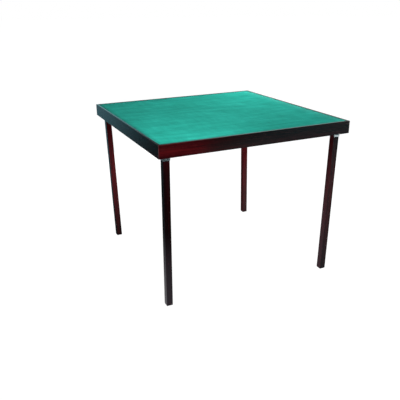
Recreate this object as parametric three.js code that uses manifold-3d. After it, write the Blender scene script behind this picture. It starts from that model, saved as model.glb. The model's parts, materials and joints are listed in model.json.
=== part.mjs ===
// A square folding card table: a baize top in a deep mitred rail frame, on four square legs.
// Each leg turns on a bolt in its own pressed steel bracket and folds in along the next rail,
// so the four folded legs lie nose to tail round the inside of the frame like a pinwheel.
// Millimetres, +Z up. The origin is on the floor under the middle of the top.
import * as THREE from 'three';
import { mergeVertices } from 'three/addons/utils/BufferGeometryUtils.js';
import Module from 'manifold-3d';

const wasm = await Module();
wasm.setup();

// ---- Driving dimensions ----
const SIDE = 850; // outer side of the square top
const HEIGHT = 692; // floor to the top of the rim
const GAP = 0.2; // left between pieces that are fitted together
const ROUND = 32; // sides of a bolt, a nut's flange or a leg's end
const SCREW_ROUND = 16; // sides of a screw and its hole
const EDGE_STEPS = 4; // facets on a rail's eased edge
const BEND_STEPS = 6; // facets on a bend or a rounded corner of the bracket
const PAST = 1; // how far a cutting shape runs on past the face that it opens

const RAIL = { thick: 25, high: 53, lip: 10, edge: 1.6 };
const PANEL_THICK = 6;
const BAIZE = { thick: 1.5, below_rim: 0.8, edge_gap: 0.6 };
const BATTEN = { wide: 48, thick: 5, seat: 8 };
const SPLINE = { thick: 3, wide: 14, high: 36 };

const LEG = { side: 26, inset: 27.5, pivot_height: 663.5, foot_gap: 3 };
const LEAN = THREE.MathUtils.degToRad(1.4); // a standing leg leans this far in, the way it folds
const PLATE = { thick: 1.5, from_rail: 0.3, top: 682, bottom: 622, corner: 6, bend: 1 };
const DIMPLE = { radius: 4.5, face_radius: 3, high: 1.15, height: 631 }; // the standing leg's stop
const BOLT = { radius: 4, head_radius: 6.5, head_thick: 3, head_chamfer: 1.2, chamfer: 0.8, past_nut: 1.2 };
const BOLT_HEAD_ROOM = 0.5; // all round the head where it is sunk in the rail
const THREAD_GAP = 0.1;
const NUT = { flat_radius: 6, thick: 5, flange_radius: 8, flange_thick: 1.2 };
const TURNING_GAP = 0.25; // between the bolt and the leg that turns on it
const PAD = { side: 25, thick: 2.8, stem_radius: 2, stem_long: 12 };

const CLIP = { thick: 1, side_gap: 0.4, wide: 14, drop: 21, bend: 1.4, mouth: 5, flare: 0.8 };
const SPRING = { thick: 1, wide: 14, anchor: 72, half_root: 8, leg_gap: 0.35, steps: 20 };
const SCREW = { radius: 1.6, tip: 1, head_radius: 3.4, head_thick: 1.8, slot: 0.9, slot_deep: 0.8 };
const PAN_HEAD = { side: 0.4, crown: 0.7, crown_drop: 0.2 }; // shares of its height and radius; mm
const SUNK = 0.1; // a flat screw's face lies this far under the plate's
const FRAME_SCREW_LONG = 17;
const FRAME_SCREW_HEIGHT = 646;
const TOP_SCREW_LONG = 9;
const SPRING_SCREW_LONG = 6;

// ---- Places worked out from them ----
const HALF = SIDE / 2;
const RAIL_BOTTOM = HEIGHT - RAIL.high;
const BAIZE_TOP = HEIGHT - BAIZE.below_rim;
const PANEL_TOP = BAIZE_TOP - BAIZE.thick - GAP;
const PANEL_BOTTOM = PANEL_TOP - PANEL_THICK;
const LEDGE = PANEL_BOTTOM - GAP;
const BATTEN_TOP = PANEL_BOTTOM - GAP;
const BATTEN_BOTTOM = BATTEN_TOP - BATTEN.thick;
const LEG_HALF = LEG.side / 2;
const LEG_CENTRE = LEG.inset + LEG_HALF; // from the outer face of either rail
const PIVOT = new THREE.Vector3(-HALF + LEG_CENTRE, -HALF + LEG_CENTRE, LEG.pivot_height);
const PLATE_OUTER = RAIL.thick + PLATE.from_rail; // rail face to the back of the bracket's plates
const PLATE_INNER = LEG_CENTRE * 2 - PLATE_OUTER; // the same for the inner ear's far side
const CORNERS = ['front_left', 'rear_left', 'rear_right', 'front_right'];
const RAILS = ['front_rail', 'left_rail', 'rear_rail', 'right_rail'];

const X = new THREE.Vector3(1, 0, 0);
const Y = new THREE.Vector3(0, 1, 0);
const Z = new THREE.Vector3(0, 0, 1);
const MINUS_Y = Y.clone().negate();
const MINUS_Z = Z.clone().negate();

// ---- Materials ----
const finish = (color, roughness, metalness) =>
  () => new THREE.MeshStandardMaterial({ color, roughness, metalness });
const lacquered_wood = finish(0x2b1013, 0.22, 0);
const bare_wood = finish(0x9c7650, 0.75, 0);
const green_baize = finish(0x23a091, 0.95, 0);
const zinc_steel = finish(0xb9bdc2, 0.35, 0.9);
const spring_steel = finish(0x7d8288, 0.3, 0.95);
const black_nylon = finish(0x141416, 0.6, 0);

// ---- Joining and cutting ----
function solid(geometry) {
  const bare = geometry.clone();
  bare.deleteAttribute('normal');
  bare.deleteAttribute('uv');
  const merged = mergeVertices(bare, 1e-4);
  return new wasm.Manifold(new wasm.Mesh({
    numProp: 3,
    vertProperties: new Float32Array(merged.attributes.position.array),
    triVerts: new Uint32Array(merged.index.array),
  }));
}

function surface(manifold) {
  const mesh = manifold.getMesh();
  const geometry = new THREE.BufferGeometry();
  geometry.setAttribute('position', new THREE.BufferAttribute(mesh.vertProperties, 3));
  geometry.setIndex(new THREE.BufferAttribute(mesh.triVerts, 1));
  geometry.computeVertexNormals();
  return geometry;
}

const joined = (first, ...rest) =>
  surface(rest.reduce((whole, next) => whole.add(solid(next)), solid(first)));
const cut = (body, ...tools) =>
  surface(tools.reduce((whole, tool) => whole.subtract(solid(tool)), solid(body)));
const trimmed = (body, outline) => surface(solid(body).intersect(solid(outline)));

// ---- Plain shapes ----
function block(low, high) {
  const size = high.map((value, axis) => value - low[axis]);
  const middle = high.map((value, axis) => (value + low[axis]) / 2);
  return new THREE.BoxGeometry(...size).translate(...middle);
}

// Points are [x, y]; the outline is drawn out along Z.
function drawnAlongZ(outline, from, to) {
  const shape = new THREE.Shape(outline.map(([a, b]) => new THREE.Vector2(a, b)));
  const geometry = new THREE.ExtrudeGeometry(shape, { depth: to - from, bevelEnabled: false });
  return geometry.translate(0, 0, from);
}

// Points are [y, z]; the outline is drawn out along X.
const drawnAlongX = (outline, from, to) =>
  drawnAlongZ(outline, from, to).applyMatrix4(new THREE.Matrix4().makeBasis(Y, Z, X));

// Points are [x, z]; the outline is drawn out along Y.
const drawnAlongY = (outline, from, to) =>
  drawnAlongZ(outline, -to, -from).applyMatrix4(new THREE.Matrix4().makeBasis(X, Z, MINUS_Y));

// A turned piece: points are [radius, height], from the axis at the bottom up to the axis at the top.
function turned(profile, sides = ROUND) {
  return new THREE.LatheGeometry(profile.map(([r, h]) => new THREE.Vector2(r, h)), sides)
    .rotateX(Math.PI / 2);
}

function arc(centre_a, centre_b, radius, from, to, steps) {
  return Array.from({ length: steps + 1 }, (_, step) => {
    const angle = from + ((to - from) * step) / steps;
    return [centre_a + radius * Math.cos(angle), centre_b + radius * Math.sin(angle)];
  });
}

// A hole's corners stand further out than its flats, so it is drawn larger to clear its shaft.
const holeRadius = (clear_radius) => clear_radius / Math.cos(Math.PI / ROUND);

function rod(radius, from, to) {
  return turned([[0, from], [radius, from], [radius, to], [0, to]]);
}

// The outline of a bent strip of even thickness about a centre line.
function strip(centre_line, thickness) {
  const side = (sign) => centre_line.map((point, i) => {
    const before = centre_line[Math.max(i - 1, 0)];
    const after = centre_line[Math.min(i + 1, centre_line.length - 1)];
    const along = after.clone().sub(before).normalize().multiplyScalar((sign * thickness) / 2);
    return [point.x - along.y, point.y + along.x];
  });
  return [...side(1), ...side(-1).reverse()];
}

function aimed(geometry, direction, place) {
  const turn = new THREE.Quaternion().setFromUnitVectors(Z, direction);
  return geometry.clone().applyQuaternion(turn).translate(place.x, place.y, place.z);
}

// ---- Screws: the head's face is at the origin and looks along +Z ----
// With room all round it, the same shape is the screw's hole.
function flatScrewBody(long, room = 0) {
  const { radius, tip, head_radius, head_thick } = SCREW;
  const face = room ? PAST : 0;
  return turned([
    [0, -long - room * 3], [radius + room, tip - long], [radius + room, -head_thick - room],
    [head_radius + room, -room], [head_radius + room, face], [0, face],
  ], SCREW_ROUND);
}

function panScrewBody(long, room = 0) {
  const { radius, tip, head_radius, head_thick } = SCREW;
  const seat = -head_thick;
  return turned([
    [0, seat - long - room * 3], [radius + room, seat - long + tip], [radius + room, seat],
    [head_radius, seat], [head_radius, seat + head_thick * PAN_HEAD.side],
    [head_radius * PAN_HEAD.crown, -PAN_HEAD.crown_drop], [0, 0],
  ], SCREW_ROUND);
}

const slotted = (body) => cut(body, block(
  [-SCREW.head_radius - PAST, -SCREW.slot / 2, -SCREW.slot_deep],
  [SCREW.head_radius + PAST, SCREW.slot / 2, PAST],
));

// Every screw is listed once, so that its hole and its body agree.
const FRAME_SCREW_FACE = -HALF + PLATE_OUTER + PLATE.thick - SUNK;
const WEB_SCREW = {
  place: new THREE.Vector3(PIVOT.x, FRAME_SCREW_FACE, FRAME_SCREW_HEIGHT), faces: Y, long: FRAME_SCREW_LONG,
};
const EAR_SCREW = {
  place: new THREE.Vector3(FRAME_SCREW_FACE, PIVOT.y, FRAME_SCREW_HEIGHT), faces: X, long: FRAME_SCREW_LONG,
};
const CLIP_BOTTOM = BATTEN_BOTTOM - GAP - CLIP.thick;
const CLIP_SCREW = {
  place: new THREE.Vector3(PIVOT.x, 0, CLIP_BOTTOM + SUNK), faces: MINUS_Z, long: TOP_SCREW_LONG,
};
const SPRING_BOTTOM = PANEL_BOTTOM - GAP - SPRING.thick;
const SPRING_SCREW = {
  place: new THREE.Vector3(PIVOT.x, -HALF + SPRING.anchor, SPRING_BOTTOM - GAP - SCREW.head_thick),
  faces: MINUS_Z, long: SPRING_SCREW_LONG,
};
const screwHole = ({ place, faces, long }) => aimed(flatScrewBody(long, GAP), faces, place);
const springScrewHole = ({ place, faces, long }) => aimed(panScrewBody(long, GAP), faces, place);

const quarterTurned = (geometry, quarters) => geometry.clone().rotateZ((-Math.PI / 2) * quarters);
const everyCorner = (geometry) => [0, 1, 2, 3].map((quarters) => quarterTurned(geometry, quarters));

// ---- The top ----
function splineBody(room) {
  const half_wide = SPLINE.wide / 2 + room;
  const half_thick = SPLINE.thick / 2 + room;
  const middle = RAIL_BOTTOM + (LEDGE - RAIL_BOTTOM) / 2;
  const half_high = SPLINE.high / 2 + room;
  return block([-half_wide, -half_thick, -half_high], [half_wide, half_thick, half_high])
    .rotateZ(-Math.PI / 4)
    .translate(-HALF + RAIL.thick / 2, -HALF + RAIL.thick / 2, middle);
}

// The front rail. Its outer edges are eased, and a rebate takes the panel and the baize.
function railBody() {
  const { thick, lip, edge } = RAIL;
  const outline = [
    ...arc(-HALF + edge, RAIL_BOTTOM + edge, edge, Math.PI, Math.PI * 1.5, EDGE_STEPS),
    [-HALF + thick, RAIL_BOTTOM], [-HALF + thick, LEDGE], [-HALF + lip, LEDGE],
    ...arc(-HALF + lip - edge, HEIGHT - edge, edge, 0, Math.PI / 2, EDGE_STEPS),
    ...arc(-HALF + edge, HEIGHT - edge, edge, Math.PI / 2, Math.PI, EDGE_STEPS),
  ];
  const long = drawnAlongX(outline, -HALF, HALF);
  const left_mitre = block([-SIDE, -SIDE, RAIL_BOTTOM - PAST], [GAP / 2, SIDE, HEIGHT + PAST])
    .rotateZ(-Math.PI / 4)
    .translate(-HALF, -HALF, 0);
  const right_mitre = block([-GAP / 2, -SIDE, RAIL_BOTTOM - PAST], [SIDE, SIDE, HEIGHT + PAST])
    .rotateZ(Math.PI / 4)
    .translate(HALF, -HALF, 0);
  const batten_seat = block(
    [-BATTEN.wide / 2 - GAP, -HALF + thick - BATTEN.seat, BATTEN_BOTTOM - GAP],
    [BATTEN.wide / 2 + GAP, -HALF + thick + PAST, LEDGE + PAST],
  );
  const bolt_head_room = aimed(
    rod(holeRadius(BOLT.head_radius + BOLT_HEAD_ROOM), -BOLT.head_thick - BOLT_HEAD_ROOM, PAST),
    Y, new THREE.Vector3(-PIVOT.x, -HALF + thick, PIVOT.z),
  );
  return cut(
    long, left_mitre, right_mitre, batten_seat, bolt_head_room,
    splineBody(GAP), quarterTurned(splineBody(GAP), 3),
    screwHole(WEB_SCREW), quarterTurned(screwHole(EAR_SCREW), 3),
  );
}

function panelBody() {
  const reach = HALF - RAIL.lip - GAP;
  const board = block([-reach, -reach, PANEL_BOTTOM], [reach, reach, PANEL_TOP]);
  return cut(board, ...everyCorner(screwHole(CLIP_SCREW)), ...everyCorner(springScrewHole(SPRING_SCREW)));
}

function baizeBody() {
  const reach = HALF - RAIL.lip - BAIZE.edge_gap;
  return block([-reach, -reach, BAIZE_TOP - BAIZE.thick], [reach, reach, BAIZE_TOP]);
}

// A batten runs rail to rail; where the two cross, each is cut away to half its thickness.
function battenBody(lap_low, lap_high) {
  const reach = HALF - RAIL.thick + BATTEN.seat - GAP;
  const half = BATTEN.wide / 2;
  const lath = block([-reach, -half, BATTEN_BOTTOM], [reach, half, BATTEN_TOP]);
  const lap = block([-half - GAP, -half - PAST, lap_low], [half + GAP, half + PAST, lap_high]);
  const hole = screwHole(CLIP_SCREW);
  return cut(lath, lap, hole, quarterTurned(hole, 2));
}

// ---- One corner: the front left one, turned about the middle of the table for the others ----
// A plate bent twice into a channel: a web behind the leg and an ear on each side of it.
function bracketBody() {
  const { thick, top, bottom, corner, bend } = PLATE;
  const near = -HALF + PLATE_OUTER;
  const far = -HALF + PLATE_INNER;
  const outer = bend + thick;
  const down = Math.PI * 1.5;
  const plan = [
    [near, far], ...arc(near + outer, near + outer, outer, Math.PI, down, BEND_STEPS),
    ...arc(far - outer, near + outer, outer, down, Math.PI * 2, BEND_STEPS), [far, far], [far - thick, far],
    ...arc(far - outer, near + outer, bend, Math.PI * 2, down, BEND_STEPS),
    ...arc(near + outer, near + outer, bend, down, Math.PI, BEND_STEPS), [near + thick, far],
  ];
  const side_view = [
    [near - PAST, bottom], ...arc(far - corner, bottom + corner, corner, -Math.PI / 2, 0, BEND_STEPS),
    ...arc(far - corner, top - corner, corner, 0, Math.PI / 2, BEND_STEPS), [near - PAST, top],
  ];
  const whole = trimmed(drawnAlongZ(plan, bottom, top), drawnAlongX(side_view, near - PAST, far + PAST));
  const dimple = aimed(
    turned([[0, -thick / 2], [DIMPLE.radius, -thick / 2], [DIMPLE.radius, 0],
      [DIMPLE.face_radius, DIMPLE.high], [0, DIMPLE.high]]),
    Y, new THREE.Vector3(PIVOT.x, near + thick, DIMPLE.height),
  );
  const pivot_hole = aimed(rod(holeRadius(BOLT.radius + GAP), -LEG.side, LEG.side), X, PIVOT);
  return cut(joined(whole, dimple), pivot_hole, screwHole(WEB_SCREW), screwHole(EAR_SCREW));
}

// The bolt lies along X with its head sunk in the rail and its thread towards the knees.
function boltBody() {
  const { radius, head_radius, head_thick, head_chamfer, chamfer, past_nut } = BOLT;
  const shoulder = PLATE_OUTER - GAP - LEG_CENTRE;
  const face = shoulder - head_thick;
  const end = PLATE_INNER - LEG_CENTRE + GAP + NUT.flange_thick + NUT.thick + past_nut;
  return turned([
    [0, face], [head_radius - head_chamfer, face], [head_radius, face + head_chamfer],
    [head_radius, shoulder], [radius, shoulder], [radius, end - chamfer], [radius - chamfer, end], [0, end],
  ]);
}

// A hexagon nut with a flange, drawn from its seat up.
function nutBody() {
  const corner_radius = NUT.flat_radius / Math.cos(Math.PI / 6);
  const whole_thick = NUT.flange_thick + NUT.thick;
  const hexagon = new THREE.CylinderGeometry(corner_radius, corner_radius, whole_thick, 6)
    .rotateX(Math.PI / 2)
    .translate(0, 0, whole_thick / 2);
  const flange = rod(NUT.flange_radius, 0, NUT.flange_thick);
  return cut(joined(hexagon, flange), rod(holeRadius(BOLT.radius + THREAD_GAP), -PAST, whole_thick + PAST));
}

// How far down the leaning leg a level cut at a height above the floor is, at a distance across it.
const levelCut = (across, height) =>
  (height - LEG.pivot_height - across * Math.sin(LEAN)) / Math.cos(LEAN);

// The leg about its own pivot: square, its top end rounded so that it can turn, its foot cut level.
function legBody() {
  const outline = [
    [-LEG_HALF, levelCut(-LEG_HALF, LEG.foot_gap)], [LEG_HALF, levelCut(LEG_HALF, LEG.foot_gap)],
    ...arc(0, 0, LEG_HALF, 0, Math.PI, ROUND),
  ];
  const bore = aimed(rod(holeRadius(BOLT.radius + TURNING_GAP), -LEG.side, LEG.side), X,
    new THREE.Vector3());
  const foot = levelCut(0, LEG.foot_gap);
  const stem_hole = rod(holeRadius(PAD.stem_radius + GAP), foot - PAST, foot + PAD.stem_long + PAST);
  return cut(drawnAlongX(outline, -LEG_HALF, LEG_HALF), bore, stem_hole);
}

function footPadBody() {
  const half = PAD.side / 2;
  const outline = [
    [-half, levelCut(-half, 0)], [half, levelCut(half, 0)],
    [half, levelCut(half, PAD.thick)], [-half, levelCut(-half, PAD.thick)],
  ];
  const stem = rod(PAD.stem_radius, levelCut(0, PAD.thick / 2), levelCut(0, LEG.foot_gap) + PAD.stem_long);
  return joined(drawnAlongX(outline, -half, half), stem);
}

// A leaf spring under the panel whose free end bears on the leg's rounded top.
function frictionSpringBody() {
  const { thick, wide, anchor, half_root, leg_gap, steps } = SPRING;
  const root = -HALF + anchor;
  const level = SPRING_BOTTOM + thick / 2;
  const touch = LEG.pivot_height + LEG_HALF + leg_gap + thick / 2;
  const bends = [
    [root + half_root, level], [root - half_root, level], [PIVOT.y + 14, level - 1.2],
    [PIVOT.y + 6, touch + 0.7], [PIVOT.y, touch], [PIVOT.y - 7, touch + 1.6],
  ];
  const line = new THREE.SplineCurve(bends.map(([y, z]) => new THREE.Vector2(y, z))).getPoints(steps);
  const leaf = drawnAlongX(strip(line, thick), PIVOT.x - wide / 2, PIVOT.x + wide / 2);
  return cut(leaf, springScrewHole(SPRING_SCREW));
}

// A spring clip that grips the folded leg, hung from a batten half way along the rail.
function legClipBody() {
  const { thick, side_gap, wide, drop, bend, mouth, flare } = CLIP;
  const half = LEG_HALF + side_gap + thick / 2;
  const top = CLIP_BOTTOM + thick / 2;
  const arm_end = top - drop;
  const left_side = [
    [-half - flare, arm_end], [-half - flare / 3, arm_end + mouth / 2], [-half, arm_end + mouth],
    ...arc(-half + bend, top - bend, bend, Math.PI, Math.PI / 2, BEND_STEPS),
  ];
  const right_side = left_side.map(([x, z]) => [-x, z]).reverse();
  const line = [...left_side, ...right_side].map(([x, z]) => new THREE.Vector2(PIVOT.x + x, z));
  const bent = drawnAlongY(strip(line, thick), -wide / 2, wide / 2);
  return cut(bent, screwHole(CLIP_SCREW));
}

// ---- Putting it together ----
const table = new THREE.Group();

function put(parent, name, geometry, material, place = new THREE.Vector3(), turn = new THREE.Quaternion()) {
  const mesh = new THREE.Mesh(geometry, material());
  mesh.name = name;
  mesh.position.copy(place);
  mesh.quaternion.copy(turn);
  parent.add(mesh);
}

const facing = (direction) => new THREE.Quaternion().setFromUnitVectors(Z, direction);
const LAP = BATTEN.thick / 2;

put(table, 'baize', baizeBody(), green_baize);
put(table, 'top_panel', panelBody(), bare_wood);
put(table, 'cross_batten_x', battenBody(BATTEN_TOP - LAP - GAP / 2, BATTEN_TOP + PAST), bare_wood);
put(table, 'cross_batten_y',
  quarterTurned(battenBody(BATTEN_BOTTOM - PAST, BATTEN_BOTTOM + LAP + GAP / 2), 1), bare_wood);

CORNERS.forEach((corner, quarters) => {
  const quarter = new THREE.Group();
  quarter.rotation.z = (-Math.PI / 2) * quarters;
  table.add(quarter);

  put(quarter, RAILS[quarters], railBody(), lacquered_wood);
  put(quarter, `mitre_spline_${corner}`, splineBody(0), bare_wood);
  put(quarter, `hinge_bracket_${corner}`, bracketBody(), zinc_steel);
  put(quarter, `pivot_bolt_${corner}`, boltBody(), zinc_steel, PIVOT, facing(X));
  const nut_seat = new THREE.Vector3(-HALF + PLATE_INNER + GAP, PIVOT.y, PIVOT.z);
  put(quarter, `pivot_nut_${corner}`, nutBody(), zinc_steel, nut_seat, facing(X));
  put(quarter, `friction_spring_${corner}`, frictionSpringBody(), spring_steel);
  put(quarter, `leg_clip_${corner}`, legClipBody(), spring_steel);

  const standing = new THREE.Group();
  standing.position.copy(PIVOT);
  standing.rotation.x = LEAN;
  quarter.add(standing);
  put(standing, `leg_${corner}`, legBody(), lacquered_wood);
  put(standing, `foot_pad_${corner}`, footPadBody(), black_nylon);

  const flat_screw = (name, { place, faces, long }) =>
    put(quarter, name, slotted(flatScrewBody(long)), zinc_steel, place, facing(faces));
  flat_screw(`bracket_web_screw_${corner}`, WEB_SCREW);
  flat_screw(`bracket_ear_screw_${corner}`, EAR_SCREW);
  flat_screw(`clip_screw_${corner}`, CLIP_SCREW);
  put(quarter, `spring_screw_${corner}`, slotted(panScrewBody(SPRING_SCREW.long)), zinc_steel,
    SPRING_SCREW.place, facing(SPRING_SCREW.faces));
});

export default table;
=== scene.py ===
"""A folding card table with a baize top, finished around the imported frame, in metres.

The wood and steel pieces are the frame's own solids with their edges eased; the baize is a sheet
of its own. Materials are procedural and read only object coordinates, so they stay on a piece as
it moves.
"""
import json
import math

import bmesh
import bpy
from mathutils import Matrix, Vector, noise

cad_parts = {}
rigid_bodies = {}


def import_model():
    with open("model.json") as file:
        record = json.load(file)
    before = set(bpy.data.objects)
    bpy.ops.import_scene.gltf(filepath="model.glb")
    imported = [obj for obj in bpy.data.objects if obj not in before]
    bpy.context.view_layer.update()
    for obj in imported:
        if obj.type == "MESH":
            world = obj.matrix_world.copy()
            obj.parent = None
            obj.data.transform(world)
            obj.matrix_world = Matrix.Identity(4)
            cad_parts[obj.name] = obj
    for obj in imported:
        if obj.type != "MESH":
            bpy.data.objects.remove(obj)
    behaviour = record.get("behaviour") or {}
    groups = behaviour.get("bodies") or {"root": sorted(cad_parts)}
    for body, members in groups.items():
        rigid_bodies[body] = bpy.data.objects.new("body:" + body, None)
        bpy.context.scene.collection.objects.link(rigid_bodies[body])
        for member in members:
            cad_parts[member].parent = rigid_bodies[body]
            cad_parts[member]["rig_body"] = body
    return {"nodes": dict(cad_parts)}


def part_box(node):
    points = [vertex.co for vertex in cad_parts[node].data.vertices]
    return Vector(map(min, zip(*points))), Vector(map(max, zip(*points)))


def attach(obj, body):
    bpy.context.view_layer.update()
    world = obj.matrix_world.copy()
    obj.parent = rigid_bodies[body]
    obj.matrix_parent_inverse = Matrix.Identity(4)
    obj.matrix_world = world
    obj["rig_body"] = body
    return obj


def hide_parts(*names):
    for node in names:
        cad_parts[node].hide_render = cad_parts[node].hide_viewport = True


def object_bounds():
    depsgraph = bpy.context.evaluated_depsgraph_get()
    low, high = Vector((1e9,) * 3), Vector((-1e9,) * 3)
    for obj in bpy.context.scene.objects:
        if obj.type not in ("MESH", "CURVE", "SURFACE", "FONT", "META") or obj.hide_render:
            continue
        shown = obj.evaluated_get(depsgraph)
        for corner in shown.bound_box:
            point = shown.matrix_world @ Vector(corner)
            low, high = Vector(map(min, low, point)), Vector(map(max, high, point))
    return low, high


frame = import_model()
cad_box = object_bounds()

CORNERS = ("front_left", "rear_left", "rear_right", "front_right")
RAILS = {"front_rail": "X", "left_rail": "Y", "rear_rail": "X", "right_rail": "Y"}
TOP = "table_top"
MM = 0.001
HALF, HEIGHT = cad_box[1][0], cad_box[1][2]


# ---- Camera: from the front left and a little above ----
CAMERA_AT = Vector((-1.0450, -2.1114, 1.1816))
CAMERA_YAW = 0.4335      # to the right of +Y
CAMERA_PITCH = 0.3712    # down
CAMERA_ROLL = -0.0103
CAMERA_LENS = 47.26
SENSOR_WIDTH = 36.0


def make_camera():
    data = bpy.data.cameras.new("camera")
    data.sensor_width, data.lens = SENSOR_WIDTH, CAMERA_LENS
    data.clip_start, data.clip_end = 0.05, 200.0
    camera = bpy.data.objects.new("camera", data)
    bpy.context.scene.collection.objects.link(camera)
    forward = Vector((math.sin(CAMERA_YAW) * math.cos(CAMERA_PITCH),
                      math.cos(CAMERA_YAW) * math.cos(CAMERA_PITCH), -math.sin(CAMERA_PITCH)))
    level_right = Vector((math.cos(CAMERA_YAW), -math.sin(CAMERA_YAW), 0))
    level_up = level_right.cross(forward)
    right = level_right * math.cos(CAMERA_ROLL) + level_up * math.sin(CAMERA_ROLL)
    up = level_up * math.cos(CAMERA_ROLL) - level_right * math.sin(CAMERA_ROLL)
    turned = Matrix((right, up, -forward)).transposed().to_4x4()
    camera.matrix_world = Matrix.Translation(CAMERA_AT) @ turned
    bpy.context.scene.camera = camera


# ---- Shaders ----
MIX_SHARE, MIX_LOW, MIX_HIGH, MIXED = 0, 6, 7, 2   # a colour Mix node's three inputs and its output


def add_node(tree, kind, inputs, **settings):
    """Adds a shader node. An input that is a node's output is linked, and any other is set."""
    made = tree.nodes.new("ShaderNode" + kind)
    for key, value in settings.items():
        setattr(made, key, value)
    for key, value in inputs.items():
        if isinstance(value, bpy.types.NodeSocket):
            tree.links.new(value, made.inputs[key])
        else:
            made.inputs[key].default_value = value
    return made


RIM_SHADE_BAND = (22 * MM, 1 * MM)       # painted shade darkens the baize over this band, measured in from its edge
RIM_SHADE_FADE = (1.15, 0.2)             # not here, and fully from here leftwards: shares of HALF
PAINTED_SHEEN_BAND = (70 * MM, 12 * MM)   # a painted sheen pales the baize over this band, measured in from the right side
CORNER_WEAR_AND_HIGHLIGHT = 3.5 * MM              # how far the wear and painted highlight reach in from an outer arris
EDGE_WEAR_AND_HIGHLIGHT = 1.4 * MM
EDGE_WEAR_AND_HIGHLIGHT_SHARE = 0.5
LIP_SHADE_BAND = (1.4 * MM, 0.3 * MM)    # painted shade darkens the lips over this band, measured down from the top


class Shader:
    """One material. Each method adds a node or a few and returns what comes out of the last."""

    def __init__(self, name):
        self.material = bpy.data.materials.new(name)
        self.material.use_nodes = True
        self.tree = self.material.node_tree
        self.tree.nodes.clear()

    def node(self, kind, inputs, **settings):
        return add_node(self.tree, kind, inputs, **settings)

    def spot(self):
        """Where the surface is, in the piece's own coordinates."""
        return self.node("TexCoord", {}).outputs["Object"]

    def place(self, stretch=(1, 1, 1), shift=(0, 0, 0), turn=(0, 0, 0)):
        return self.node("Mapping", {"Vector": self.spot(), "Scale": stretch, "Location": shift,
                                     "Rotation": turn}).outputs["Vector"]

    def noise(self, where, scale, detail, roughness=0.5, distortion=0.0):
        inputs = {"Vector": where, "Scale": scale, "Detail": detail, "Roughness": roughness,
                  "Distortion": distortion}
        return self.node("TexNoise", inputs).outputs["Fac"]

    def math(self, operation, *values):
        return self.node("Math", dict(enumerate(values)), operation=operation).outputs[0]

    def sum(self, *parts):
        """A weighted sum of outputs: parts are (weight, output)."""
        total = None
        for weight, value in parts:
            scaled = self.math("MULTIPLY", value, weight)
            total = scaled if total is None else self.math("ADD", total, scaled)
        return total

    def ramp(self, value, *stops):
        """Stops are (position, grey) or (position, (r, g, b))."""
        made = self.node("ValToRGB", {"Fac": value})
        elements = made.color_ramp.elements
        while len(elements) < len(stops):
            elements.new(0.5)
        for element, (position, colour) in zip(elements, stops):
            element.position = position
            element.color = (*colour, 1) if hasattr(colour, "__len__") else (*[colour] * 3, 1)
        return made.outputs["Color"]

    def blend(self, share, low, high):
        """Colour low where share is 0 and high where it is 1."""
        made = self.node("Mix", {}, data_type="RGBA")
        for key, value in ((MIX_SHARE, share), (MIX_LOW, low), (MIX_HIGH, high)):
            if isinstance(value, bpy.types.NodeSocket):
                self.tree.links.new(value, made.inputs[key])
            else:
                made.inputs[key].default_value = (*value, 1)
        return made.outputs[MIXED]

    def rise(self, value, start, end, curve="LINEAR"):
        """0 where value is at start or before it, 1 at end and beyond."""
        return self.node("MapRange", {"Value": value, "From Min": start, "From Max": end},
                         interpolation_type=curve).outputs["Result"]

    def spread_over(self, value, low, high):
        """value, from 0 to 1, as a number from low to high."""
        return self.node("MapRange", {"Value": value, "To Min": low,
                                      "To Max": high}).outputs["Result"]

    def across(self):
        return self.node("SeparateXYZ", {"Vector": self.spot()}).outputs["X"]

    def where(self):
        """Distances from the top's two middle lines, and the height."""
        spot = self.node("SeparateXYZ", {"Vector": self.spot()}).outputs
        return self.math("ABSOLUTE", spot["X"]), self.math("ABSOLUTE", spot["Y"]), spot["Z"]

    def painted_rim_shade(self):
        """1 at the baize's own edge, where painted shade darkens it, less to the right."""
        x, y, _ = self.where()
        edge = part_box("baize")[1].x
        start, end = (edge - inward for inward in RIM_SHADE_BAND)
        band = self.rise(self.math("MAXIMUM", x, y), start, end, "SMOOTHSTEP")
        right, left = (share * HALF for share in RIM_SHADE_FADE)
        return self.math("MULTIPLY", band, self.rise(self.across(), right, left))

    def painted_sheen(self):
        """1 along the baize's right side, where a painted sheen makes it look paler."""
        start, end = (HALF - inward for inward in PAINTED_SHEEN_BAND)
        return self.rise(self.across(), start, end, "SMOOTHSTEP")

    def wear_and_painted_light(self):
        """1 on the top's outer arrises, corners and rails' upper edges, for wear and a painted
        highlight.
        """
        x, y, z = self.where()
        corner = self.rise(self.math("MINIMUM", x, y), HALF - CORNER_WEAR_AND_HIGHLIGHT, HALF)
        upper = self.math("MINIMUM", self.math("MAXIMUM", x, y),
                          self.math("ADD", z, HALF - HEIGHT))
        edge = self.math("MULTIPLY", self.rise(upper, HALF - EDGE_WEAR_AND_HIGHLIGHT, HALF), EDGE_WEAR_AND_HIGHLIGHT_SHARE)
        patchy = self.ramp(self.noise(self.place(), 55.0, 4, 0.65), (0.34, 0.35), (0.60, 1.0))
        return self.math("MULTIPLY", self.math("MAXIMUM", corner, edge), patchy)

    def painted_lip_shade(self):
        """1 on the rails' upper faces, where painted shade darkens them."""
        start, end = (HEIGHT - down for down in LIP_SHADE_BAND)
        return self.rise(self.where()[2], start, end)

    def bump(self, height, distance, strength):
        inputs = {"Height": height, "Distance": distance, "Strength": strength}
        return self.node("Bump", inputs).outputs["Normal"]

    def surface(self, **inputs):
        """The finished material. Inputs are the Principled shader's own, with _ for a space."""
        named = {key.replace("_", " "): value for key, value in inputs.items()}
        return self.finish(self.node("BsdfPrincipled", named).outputs["BSDF"])

    def finish(self, output):
        self.node("OutputMaterial", {"Surface": output})
        return self.material


def grained(axis, fineness):
    """Stretches for a texture that runs along an axis and is this much finer across it."""
    return tuple(1 if axis == name else fineness for name in "XYZ")


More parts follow.
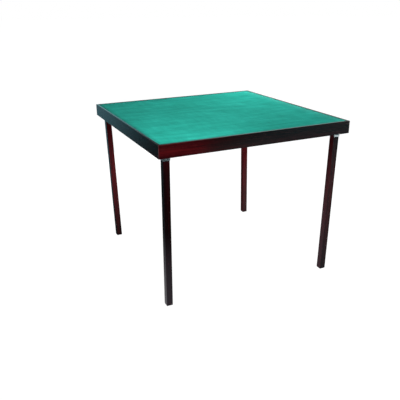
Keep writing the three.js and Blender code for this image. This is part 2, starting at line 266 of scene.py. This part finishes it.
# ---- Materials ----
def lacquered_mahogany(name, grain, seed, wear_and_painted_light=False):
    """Dark red-brown stain on straight-grained mahogany, under a clear gloss coat."""
    s = Shader(name)
    shift = (seed * 1.37, seed * 0.71, seed * 2.13)
    ribbon = s.noise(s.place(grained(grain, 9), shift), 2.6, 3, 0.5, 0.3)
    streaks = s.noise(s.place(grained(grain, 34), shift), 6.0, 5, 0.62, 0.15)
    fibres = s.noise(s.place(grained(grain, 60), shift), 22.0, 3, 0.6)
    pores = s.ramp(s.noise(s.place(grained(grain, 22), shift), 75.0, 2), (0.60, 0.0), (0.68, 1.0))
    tone = s.sum((0.40, ribbon), (0.42, streaks), (0.18, fibres))
    stain = s.ramp(tone, (0.34, (0.014, 0.0004, 0.0009)), (0.50, (0.038, 0.0010, 0.0020)),
                   (0.64, (0.085, 0.0040, 0.0052)))
    colour = s.blend(s.sum((0.55, pores)), stain, (0.005, 0.0007, 0.0010))
    if wear_and_painted_light:
        # Painted shade darkens the lips; then the outer arrises lighten with wear and a painted
        # highlight.
        colour = s.blend(s.sum((0.65, s.painted_lip_shade())), colour, (0.010, 0.006, 0.007))
        colour = s.blend(s.wear_and_painted_light(), colour, (0.100, 0.045, 0.048))
    relief = s.bump(s.sum((0.7, fibres), (-0.5, pores)), 0.05 * MM, 0.5)
    film = s.bump(s.noise(s.place(), 420.0, 2), 0.010 * MM, 0.35)
    return s.surface(Base_Color=colour, Roughness=s.spread_over(streaks, 0.36, 0.50),
                     Normal=relief, Specular_IOR_Level=0.05,
                     Coat_Weight=1.0, Coat_Roughness=0.07, Coat_IOR=1.5, Coat_Normal=film)


def baize():
    """Wool baize: a short nap brushed this way and that, over a fine felted weave."""
    s = Shader("baize")
    clouds = s.noise(s.place(), 3.2, 3, 0.55, 0.6)
    strokes = s.noise(s.place((1, 5.5, 1), turn=(0, 0, 0.62)), 7.0, 4, 0.6, 0.5)
    cross_strokes = s.noise(s.place((4.5, 1, 1), turn=(0, 0, 0.35)), 9.0, 4, 0.6, 0.4)
    flecks = s.noise(s.place((1, 2.5, 1), turn=(0, 0, 0.9)), 420.0, 4, 0.75, 0.8)
    felt = s.noise(s.place(), 2600.0, 2, 0.6)
    nap = s.sum((0.22, clouds), (0.32, strokes), (0.16, cross_strokes), (0.30, flecks))
    brushed = s.ramp(nap, (0.38, (0.010, 0.265, 0.204)), (0.50, (0.018, 0.385, 0.300)),
                     (0.62, (0.034, 0.530, 0.430)))
    # Painted shade: the baize darkens along its edge, more to the left.
    colour = s.blend(s.sum((0.5, s.painted_rim_shade())), brushed, (0.006, 0.130, 0.108))
    # Painted sheen: a paler band along the baize's right side.
    colour = s.blend(s.sum((0.30, s.painted_sheen())), colour, (0.110, 0.640, 0.520))
    relief = s.bump(s.sum((0.6, flecks), (0.4, felt)), 0.35 * MM, 0.55)
    return s.surface(Base_Color=colour, Roughness=0.95, Normal=relief, Specular_IOR_Level=0.06,
                     Sheen_Weight=0.10, Sheen_Roughness=0.5, Sheen_Tint=(0.35, 1.0, 0.85, 1))


def plywood():
    """The panel's underside: a rotary-cut veneer, its figure running along X."""
    s = Shader("plywood")
    figure = s.noise(s.place((1, 7, 1)), 2.4, 4, 0.55, 1.6)
    lines = s.noise(s.place((1, 30, 1)), 6.0, 5, 0.6, 0.4)
    specks = s.ramp(s.noise(s.place((1, 12, 1)), 120.0, 2), (0.62, 0.0), (0.70, 1.0))
    tone = s.sum((0.5, figure), (0.5, lines))
    veneer = s.ramp(tone, (0.36, (0.235, 0.125, 0.055)), (0.50, (0.345, 0.205, 0.100)),
                    (0.64, (0.470, 0.305, 0.165)))
    colour = s.blend(s.sum((0.5, specks)), veneer, (0.13, 0.065, 0.03))
    relief = s.bump(s.sum((0.7, lines), (-0.3, specks)), 0.10 * MM, 0.6)
    return s.surface(Base_Color=colour, Roughness=0.62, Normal=relief, Specular_IOR_Level=0.35)


def planed_softwood(name, grain, seed):
    """Pale straight-grained softwood, planed and left bare."""
    s = Shader(name)
    shift = (seed * 0.9, seed * 1.7, seed * 0.4)
    rings = s.noise(s.place(grained(grain, 26), shift), 3.5, 4, 0.5, 0.8)
    fibres = s.noise(s.place(grained(grain, 50), shift), 24.0, 3, 0.6)
    tone = s.sum((0.7, rings), (0.3, fibres))
    colour = s.ramp(tone, (0.38, (0.32, 0.185, 0.085)), (0.50, (0.50, 0.335, 0.175)),
                    (0.62, (0.64, 0.46, 0.27)))
    relief = s.bump(fibres, 0.12 * MM, 0.6)
    return s.surface(Base_Color=colour, Roughness=0.68, Normal=relief, Specular_IOR_Level=0.3)


def rolled_steel(name, light, dark, roughness):
    """Plated or tempered steel: crystalline mottling, a rolling grain and handling marks."""
    s = Shader(name)
    mottle = s.noise(s.place(), 160.0, 4, 0.65)
    rolling = s.noise(s.place((1, 1, 24)), 60.0, 3, 0.6)
    scratches = s.noise(s.place((6, 1, 2), turn=(0.4, 0.2, 0.7)), 90.0, 5, 0.7)
    marks = s.ramp(scratches, (0.60, 0.0), (0.66, 1.0))
    colour = s.ramp(s.sum((0.6, mottle), (0.4, rolling)), (0.36, dark), (0.62, light))
    wear = s.sum((0.7, mottle), (0.3, marks))
    rough = s.spread_over(wear, roughness * 0.7, roughness * 1.5)
    relief = s.bump(s.sum((0.5, rolling), (0.5, marks)), 0.02 * MM, 0.4)
    return s.surface(Base_Color=colour, Metallic=1.0, Roughness=rough, Normal=relief)


def black_nylon():
    """Moulded nylon with a fine grain, a little scuffed."""
    s = Shader("black_nylon")
    grain = s.noise(s.place(), 1400.0, 3, 0.6)
    scuffs = s.noise(s.place((1, 1, 5)), 60.0, 4, 0.6)
    colour = s.ramp(scuffs, (0.40, (0.006, 0.006, 0.007)), (0.68, (0.022, 0.021, 0.021)))
    return s.surface(Base_Color=colour, Roughness=0.55, Normal=s.bump(grain, 0.06 * MM, 0.6))


# ---- Pieces made from the frame's solids, with their edges eased ----
SMOOTH_ANGLE = math.radians(32)   # a sharper bend than this shades as an edge
CREASE_ANGLE = math.radians(38)   # a sharper bend than this is eased
FLAT_ANGLE = math.radians(0.5)    # a bend gentler than this isn't one
MERGE_DISTANCE = 0.002 * MM
BROAD_FACE_WEIGHT = 50


def smooth(piece):
    """Rounded edges shade smoothly while the broad faces beside them stay flat."""
    piece.data.shade_smooth()
    piece.data.set_sharp_from_angle(angle=SMOOTH_ANGLE)
    weighted = piece.modifiers.new("flat_faces", "WEIGHTED_NORMAL")
    weighted.mode, weighted.weight, weighted.keep_sharp = "FACE_AREA", BROAD_FACE_WEIGHT, True


def linked_piece(name, bm, material):
    """Uses up a bmesh to make a visible piece of one material."""
    bmesh.ops.triangulate(bm, faces=[f for f in bm.faces if len(f.verts) > 4])
    mesh = bpy.data.meshes.new(name)
    bm.to_mesh(mesh)
    bm.free()
    mesh.materials.append(material)
    piece = bpy.data.objects.new(name, mesh)
    bpy.context.scene.collection.objects.link(piece)
    smooth(piece)
    return piece


def finished(node, material, ease=0.0, steps=2, shortest=0.0):
    """A copy of a frame solid as clean faces, its creases longer than shortest rounded by ease."""
    source = frame["nodes"][node]
    bm = bmesh.new()
    bm.from_mesh(source.data)
    bmesh.ops.remove_doubles(bm, verts=bm.verts, dist=MERGE_DISTANCE)
    bmesh.ops.dissolve_limit(bm, angle_limit=FLAT_ANGLE, verts=bm.verts, edges=bm.edges)
    if ease:
        creases = [e for e in bm.edges if e.is_manifold and e.calc_length() > shortest
                   and e.calc_face_angle() > CREASE_ANGLE]
        bmesh.ops.bevel(bm, geom=creases, offset=ease, offset_type="OFFSET", segments=steps,
                        profile=0.5, affect="EDGES", clamp_overlap=True)
    piece = linked_piece(node + "_finished", bm, material)
    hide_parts(node)
    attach(piece, source["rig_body"])


# ---- The baize ----
BAIZE_CELLS = 160
BAIZE_LIFT = 0.10 * MM      # how far the nap rises and falls
BAIZE_ROLL = 1.6 * MM       # the cut edge turns down over this width
BAIZE_ROLL_DEPTH = 0.8      # as a share of the thickness
BAIZE_ROLL_STEPS = 4
NAP_WAVES = ((1.0, 9, 0.3), (0.5, 31, 1.7))   # weight, fineness per metre, height in the noise


def nap_depth(x, y):
    """How far the nap lies below the top of the sheet."""
    wave = sum(weight * noise.noise(Vector((x * fineness, y * fineness, height)))
               for weight, fineness, height in NAP_WAVES)
    return BAIZE_LIFT * (0.75 + 0.5 * wave)


def baize_sheet(material):
    """A thin felted sheet stretched over the panel, its cut edge rolled down into the groove."""
    low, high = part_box("baize")
    roll, thick = BAIZE_ROLL, high.z - low.z
    span = high.x - low.x - 2 * roll
    inner = [low.x + roll + span * i / BAIZE_CELLS for i in range(BAIZE_CELLS + 1)]
    angles = (math.pi / 2 * k / BAIZE_ROLL_STEPS for k in range(BAIZE_ROLL_STEPS))
    edge = [(roll * (1 - math.cos(a)), thick * BAIZE_ROLL_DEPTH * (1 - math.sin(a)))
            for a in angles]
    ticks = [(low.x + inward, drop) for inward, drop in edge] + [(x, 0.0) for x in inner]
    ticks += [(high.x - inward, drop) for inward, drop in reversed(edge)]
    bm = bmesh.new()

    def point(a, b):
        (x, drop_x), (y, drop_y) = a, b
        return Vector((x, y, high.z - max(drop_x, drop_y) - nap_depth(x, y)))

    tops = [[bm.verts.new(point(a, b)) for b in ticks] for a in ticks]
    last = len(ticks) - 1
    for i in range(last):
        for j in range(last):
            bm.faces.new((tops[i][j], tops[i + 1][j], tops[i + 1][j + 1], tops[i][j + 1]))
    rim = [tops[i][0] for i in range(last)] + [tops[last][j] for j in range(last)]
    rim += [tops[i][last] for i in range(last, 0, -1)] + [tops[0][j] for j in range(last, 0, -1)]
    foot = [bm.verts.new((v.co.x, v.co.y, low.z)) for v in rim]
    for k, (upper, lower) in enumerate(zip(rim, foot)):
        after = (k + 1) % len(rim)
        bm.faces.new((upper, lower, foot[after], rim[after]))
    bm.faces.new(list(reversed(foot)))
    bmesh.ops.recalc_face_normals(bm, faces=bm.faces)
    piece = linked_piece("baize_sheet", bm, material)
    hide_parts("baize")
    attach(piece, TOP)


# ---- Stage and light ----
WHITE = (1, 1, 1, 1)
FLOOR_PAINT = (0.10, 0.10, 0.10, 1)
FLOOR_RADIUS = 30
FLOOR_DROP = 0.5 * MM
BACKDROP_RADIUS = 45


def glowing_white(name):
    """A new shader, and the white light that it gives off."""
    s = Shader(name)
    return s, s.node("Emission", {"Color": WHITE, "Strength": 1.0}).outputs["Emission"]


def staged(name, material):
    """Names the object just added, and hides it from everything but the camera."""
    piece = bpy.context.object
    piece.name = name
    piece.data.materials.append(material)
    piece.visible_diffuse = piece.visible_glossy = piece.visible_shadow = False
    return piece


def make_floor():
    """An evenly white floor, so bright that no shadow shows on it. From below it is clear."""
    s, glow = glowing_white("floor_white")
    paint = s.node("BsdfDiffuse", {"Color": FLOOR_PAINT}).outputs["BSDF"]
    lit = s.node("AddShader", {0: glow, 1: paint}).outputs[0]
    behind = s.node("NewGeometry", {}).outputs["Backfacing"]
    clear = s.node("BsdfTransparent", {}).outputs["BSDF"]
    material = s.finish(s.node("MixShader", {0: behind, 1: lit, 2: clear}).outputs[0])
    bpy.ops.mesh.primitive_circle_add(vertices=96, radius=FLOOR_RADIUS, fill_type="NGON",
                                      location=(0, 0, -FLOOR_DROP))
    return staged("floor", material)


def make_backdrop():
    s, glow = glowing_white("backdrop_white")
    material = s.finish(glow)
    bpy.ops.mesh.primitive_uv_sphere_add(segments=64, ring_count=32, radius=BACKDROP_RADIUS)
    return staged("backdrop", material)


# What polished wood and bright steel reflect: soft glows, each (heading from +Y to the right,
# height, inner and outer radius, colour), with angles in degrees, in a dim room.
GLOWS = (
    (2, -3, 10, 26, (0.155, 0.36, 0.43)),
    (13, 11, 4, 10, (0.20, 0.42, 0.43)),
    (34, 10, 5, 15, (0.56, 0.80, 0.77)),
    (110, -13, 33, 41, (0.06, 0.21, 0.23)),
    (128, -12, 2, 8, (6.2, 6.0, 6.0)),
    (150, -21, 2, 8, (0.28, 0.32, 0.32)),
    (159, -39, 3, 12, (0.44, 0.42, 0.50)),
    (166, -20, 2, 7, (0.08, 0.14, 0.15)),
    (250, 20, 20, 70, (0.20, 0.21, 0.22)),
    (316, -28, 4, 16, (0.40, 0.26, 0.30)),
    (338, -42, 4, 18, (0.56, 0.54, 0.57)),
)
ROOM = (0.002, 0.021, 0.024)
FILL = (0.064, 0.070, 0.076, 1)   # what lights every matt surface from all round


def make_world():
    """Even fill light for matt surfaces; for glossy ones a dim room with a few soft glows."""
    world = bpy.data.worlds.new("studio")
    world.use_nodes = True
    tree = world.node_tree
    tree.nodes.clear()

    def add(kind, inputs, **settings):
        return add_node(tree, kind, inputs, **settings).outputs

    towards = add("TexCoord", {})["Generated"]
    room = add("CombineXYZ", dict(enumerate(ROOM)))["Vector"]
    for heading, height, inner, outer, colour in GLOWS:
        heading, height, inner, outer = map(math.radians, (heading, height, inner, outer))
        centre = (math.sin(heading) * math.cos(height), math.cos(heading) * math.cos(height),
                  math.sin(height))
        facing = add("VectorMath", {0: towards, 1: centre}, operation="DOT_PRODUCT")["Value"]
        share = add("MapRange", {"Value": facing, "From Min": math.cos(outer),
                                 "From Max": math.cos(inner)},
                    interpolation_type="SMOOTHSTEP")["Result"]
        glow = add("VectorMath", {0: colour, "Scale": share}, operation="SCALE")["Vector"]
        room = add("VectorMath", {0: room, 1: glow}, operation="ADD")["Vector"]
    glossy = add("LightPath", {})["Is Glossy Ray"]
    fill = add("Background", {"Color": FILL, "Strength": 1.0})[0]
    mirrored = add("Background", {"Color": room, "Strength": 1.0})[0]
    both = add("MixShader", {0: glossy, 1: fill, 2: mirrored})[0]
    add("OutputWorld", {"Surface": both})
    bpy.context.scene.world = world
    bpy.context.scene.view_settings.view_transform = "Standard"


def softbox(name, at, towards, size, power, glossy=False, spread=180):
    """A rectangular lamp that the camera doesn't see: power is in watts, spread in degrees."""
    data = bpy.data.lights.new(name, "AREA")
    data.shape, data.size, data.size_y = "RECTANGLE", *size
    data.energy, data.spread = power, math.radians(spread)
    light = bpy.data.objects.new(name, data)
    bpy.context.scene.collection.objects.link(light)
    light.location = at
    light.rotation_mode = "QUATERNION"
    light.rotation_quaternion = (Vector(towards) - Vector(at)).to_track_quat("-Z", "Y")
    light.visible_camera, light.visible_glossy = False, glossy


LEG_BEAM = 48


def make_lights():
    softbox("overhead", (0.0, 0.1, 3.2), (0, 0, 0.69), (3.0, 3.0), 30, glossy=True)
    # Small lamps near the top, the rim and the legs, for the changes of tone along them.
    softbox("over_front_left", (-0.40, -0.52, 1.26), (-0.40, -0.42, 0.69), (0.30, 0.30), 3.0)
    softbox("over_rear_right", (0.52, 0.42, 1.32), (0.46, 0.38, 0.69), (0.35, 0.35), 4.6)
    softbox("front_left", (-0.345, -0.475, 0.664), (-0.345, -0.42, 0.664), (0.22, 0.012), 0.074)
    softbox("front_right", (0.42, -0.75, 0.22), (0.40, -0.40, 0.32), (0.10, 0.10), 0.7)
    softbox("rear_left_leg", (-0.15, -0.30, 0.45), (-0.385, 0.385, 0.33), (0.12, 0.12), 0.52,
            spread=LEG_BEAM)
    softbox("rear_right_leg", (-0.05, -0.35, 0.45), (0.385, 0.385, 0.33), (0.12, 0.12), 0.78,
            spread=LEG_BEAM)
    softbox("under_top", (0, 0, 0.12), (0, 0, 0.66), (0.50, 0.50), 3.0)
    softbox("right", (1.9, 0.2, 0.45), (0, 0, 0.45), (1.2, 0.8), 26)
    softbox("rear", (-0.2, 1.9, 0.45), (0, 0, 0.45), (1.2, 0.8), 26)


def make_pieces():
    for number, (rail, grain) in enumerate(RAILS.items()):
        wood = lacquered_mahogany("mahogany_" + rail, grain, number + 1, wear_and_painted_light=True)
        finished(rail, wood, ease=0.5 * MM, shortest=6 * MM)
    zinc = rolled_steel("bright_zinc", (0.84, 0.79, 0.78), (0.64, 0.60, 0.60), 0.27)
    screw_steel = rolled_steel("screw_steel", (0.74, 0.75, 0.78), (0.46, 0.47, 0.50), 0.24)
    spring = rolled_steel("tempered_steel", (0.34, 0.35, 0.38), (0.17, 0.18, 0.20), 0.30)
    nylon = black_nylon()
    batten_x = planed_softwood("softwood_x", "X", 1)
    batten_y = planed_softwood("softwood_y", "Y", 2)
    upright = planed_softwood("softwood_z", "Z", 3)
    finished("top_panel", plywood(), ease=0.3 * MM, steps=1, shortest=50 * MM)
    finished("cross_batten_x", batten_x, ease=0.8 * MM, shortest=20 * MM)
    finished("cross_batten_y", batten_y, ease=0.8 * MM, shortest=20 * MM)
    for number, corner in enumerate(CORNERS):
        leg = lacquered_mahogany("mahogany_leg_" + corner, "Z", number + 11)
        finished("leg_" + corner, leg, ease=1.1 * MM, steps=3, shortest=20 * MM)
        finished("foot_pad_" + corner, nylon, ease=0.7 * MM, shortest=2.5 * MM)
        finished("mitre_spline_" + corner, upright)
        finished("hinge_bracket_" + corner, zinc, ease=0.35 * MM,
                 shortest=5 * MM)
        finished("pivot_bolt_" + corner, zinc)
        finished("pivot_nut_" + corner, screw_steel, ease=0.5 * MM,
                 shortest=3 * MM)
        for kind in ("friction_spring_", "leg_clip_"):
            finished(kind + corner, spring, ease=0.25 * MM, shortest=10 * MM)
        for kind in ("bracket_web_screw_", "bracket_ear_screw_", "clip_screw_", "spring_screw_"):
            finished(kind + corner, screw_steel)
    baize_sheet(baize())


make_camera()
make_pieces()
make_floor()
make_backdrop()
make_world()
make_lights()
